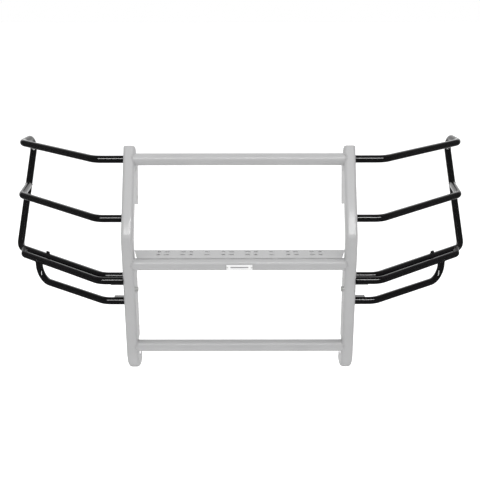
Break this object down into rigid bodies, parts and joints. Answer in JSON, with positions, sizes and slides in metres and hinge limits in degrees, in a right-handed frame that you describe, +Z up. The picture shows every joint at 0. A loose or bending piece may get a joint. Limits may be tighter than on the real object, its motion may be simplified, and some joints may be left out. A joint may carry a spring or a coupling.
{
  "type": "front grille guard",
  "caption": "Front grille guard with two kinked channel uprights, round cross tubes, a perforated step and bent-tube headlight wings.",
  "frame": {"origin": "middle of the guard, level with the middle hole of the two frame plates", "axes": "+Z up, +X towards the viewer's right when facing the guard's front, the front faces -Y"},
  "size_m": [2.0882, 0.7389, 0.9671],
  "materials": {
    "grey_coat": "light grey semi-gloss powder coat",
    "black_coat": "gloss black powder coat",
    "black_steel": "black oxide",
    "zinc_steel": "bright zinc plate",
    "badge_face": "white gloss with a grey border"
  },
  "bodies": {
    "root": {"badge_plate": "badge_face", "badge_rivets": "zinc_steel", "bottom_cross_tube": "grey_coat", "centre_step_gusset": "grey_coat", "left_frame_bolt": "zinc_steel", "left_frame_nut": "zinc_steel", "left_frame_plate": "grey_coat", "left_frame_washer": "zinc_steel", "left_loop_strap": "black_coat", "left_lower_loop": "black_coat", "left_lower_rail": "black_coat", "left_middle_rail": "black_coat", "left_outer_hoop": "black_coat", "left_pair_strap": "black_coat", "left_rail_plugs": "black_steel", "left_stay_tab": "black_coat", "left_step_gusset": "grey_coat", "left_support_plate": "grey_coat", "left_upright": "grey_coat", "left_upright_cap": "grey_coat", "left_wing_bolts": "black_steel", "left_wing_washers": "black_steel", "right_frame_bolt": "zinc_steel", "right_frame_nut": "zinc_steel", "right_frame_plate": "grey_coat", "right_frame_washer": "zinc_steel", "right_loop_strap": "black_coat", "right_lower_loop": "black_coat", "right_lower_rail": "black_coat", "right_middle_rail": "black_coat", "right_outer_hoop": "black_coat", "right_pair_strap": "black_coat", "right_rail_plugs": "black_steel", "right_stay_tab": "black_coat", "right_step_gusset": "grey_coat", "right_support_plate": "grey_coat", "right_upright": "grey_coat", "right_upright_cap": "grey_coat", "right_wing_bolts": "black_steel", "right_wing_washers": "black_steel", "step_tread": "grey_coat", "step_tube": "grey_coat", "top_cross_tube": "grey_coat"}
  },
  "joints": []
}
